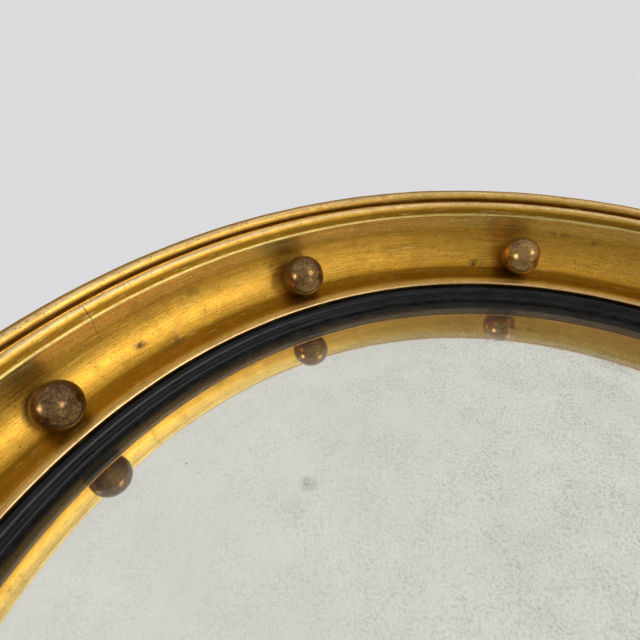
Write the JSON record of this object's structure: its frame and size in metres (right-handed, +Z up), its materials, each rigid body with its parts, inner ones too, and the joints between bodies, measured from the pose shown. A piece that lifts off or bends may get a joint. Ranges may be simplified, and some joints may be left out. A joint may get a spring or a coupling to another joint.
{
  "type": "convex wall mirror",
  "caption": "Round convex wall mirror in a turned gilt frame with balls in its hollow, a black reeded slip and a swinging hanging ring.",
  "frame": {"origin": "on the mirror's axis, in the plane of the frame's back, where it meets the wall", "axes": "+Z up, the mirror faces -Y, +X to the right seen from the front"},
  "size_m": [0.5, 0.0626, 0.5],
  "materials": {
    "gilt_frame": "worn gold leaf over gesso",
    "gilt_ball": "bronzed, worn gilding",
    "black_slip": "ebonised, satin",
    "mirror_plate": "silvered behind, lightly foxed",
    "backboard": "aged, unfinished",
    "plain_wood": "unfinished",
    "hanger_brass": "dull",
    "screw_brass": "dull"
  },
  "bodies": {
    "mirror": {"frame_segment_01": "gilt_frame", "frame_segment_02": "gilt_frame", "frame_segment_03": "gilt_frame", "frame_segment_04": "gilt_frame", "frame_segment_05": "gilt_frame", "frame_segment_06": "gilt_frame", "frame_segment_07": "gilt_frame", "frame_segment_08": "gilt_frame", "ball_01": "gilt_ball", "ball_02": "gilt_ball", "ball_03": "gilt_ball", "ball_04": "gilt_ball", "ball_05": "gilt_ball", "ball_06": "gilt_ball", "ball_07": "gilt_ball", "ball_08": "gilt_ball", "ball_09": "gilt_ball", "ball_10": "gilt_ball", "ball_11": "gilt_ball", "ball_12": "gilt_ball", "slip_ring": "black_slip", "mirror_plate": "mirror_plate", "backboard": "backboard", "glazing_block_01": "plain_wood", "glazing_block_02": "plain_wood", "glazing_block_03": "plain_wood", "glazing_block_04": "plain_wood", "glazing_block_05": "plain_wood", "glazing_block_06": "plain_wood", "glazing_block_07": "plain_wood", "glazing_block_08": "plain_wood", "ball_dowels": "plain_wood", "hanger_plate": "hanger_brass", "backboard_screws": "screw_brass", "hanger_screws": "screw_brass"},
    "ring": {"hanger_ring": "hanger_brass"}
  },
  "joints": [
    {"name": "ring_swing", "type": "hinge", "parent": "mirror", "child": "ring", "pos_m": [0, -0.00348, 0.2127], "axis": [1, 0, 0], "range_deg": [0, 180]}
  ]
}
